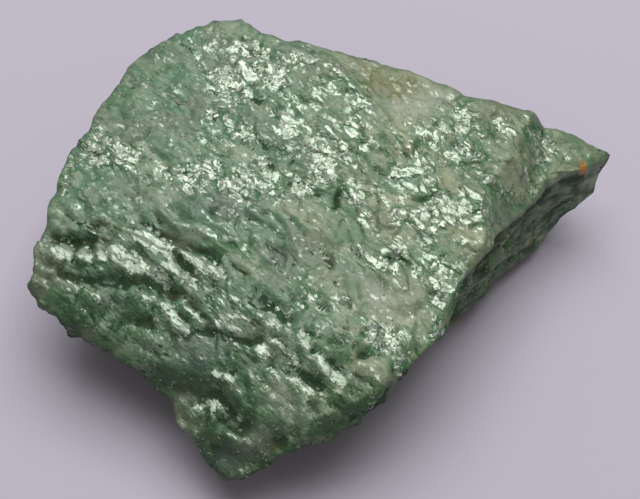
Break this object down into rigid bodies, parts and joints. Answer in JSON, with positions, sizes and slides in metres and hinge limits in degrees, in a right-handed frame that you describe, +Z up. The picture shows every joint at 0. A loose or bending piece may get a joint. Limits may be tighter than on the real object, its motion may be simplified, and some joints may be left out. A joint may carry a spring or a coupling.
{
  "type": "raw fuchsite",
  "caption": "Broken slab of raw green mica schist with a level upper face, a folded front slope, a stepped pointed end and a flat facet to rest on.",
  "frame": {"origin": "on the resting plane, under the middle of the stone's bounding box", "axes": "+X along the stone's length towards its pointed end, +Y towards its straight back edge, +Z up out of the resting facet"},
  "size_m": [0.0944, 0.0764, 0.0283],
  "materials": {
    "green_mica_schist": "rough broken mica schist, grey green, glittering with silvery flakes"
  },
  "bodies": {
    "root": {"raw_fuchsite": "green_mica_schist"}
  },
  "joints": []
}
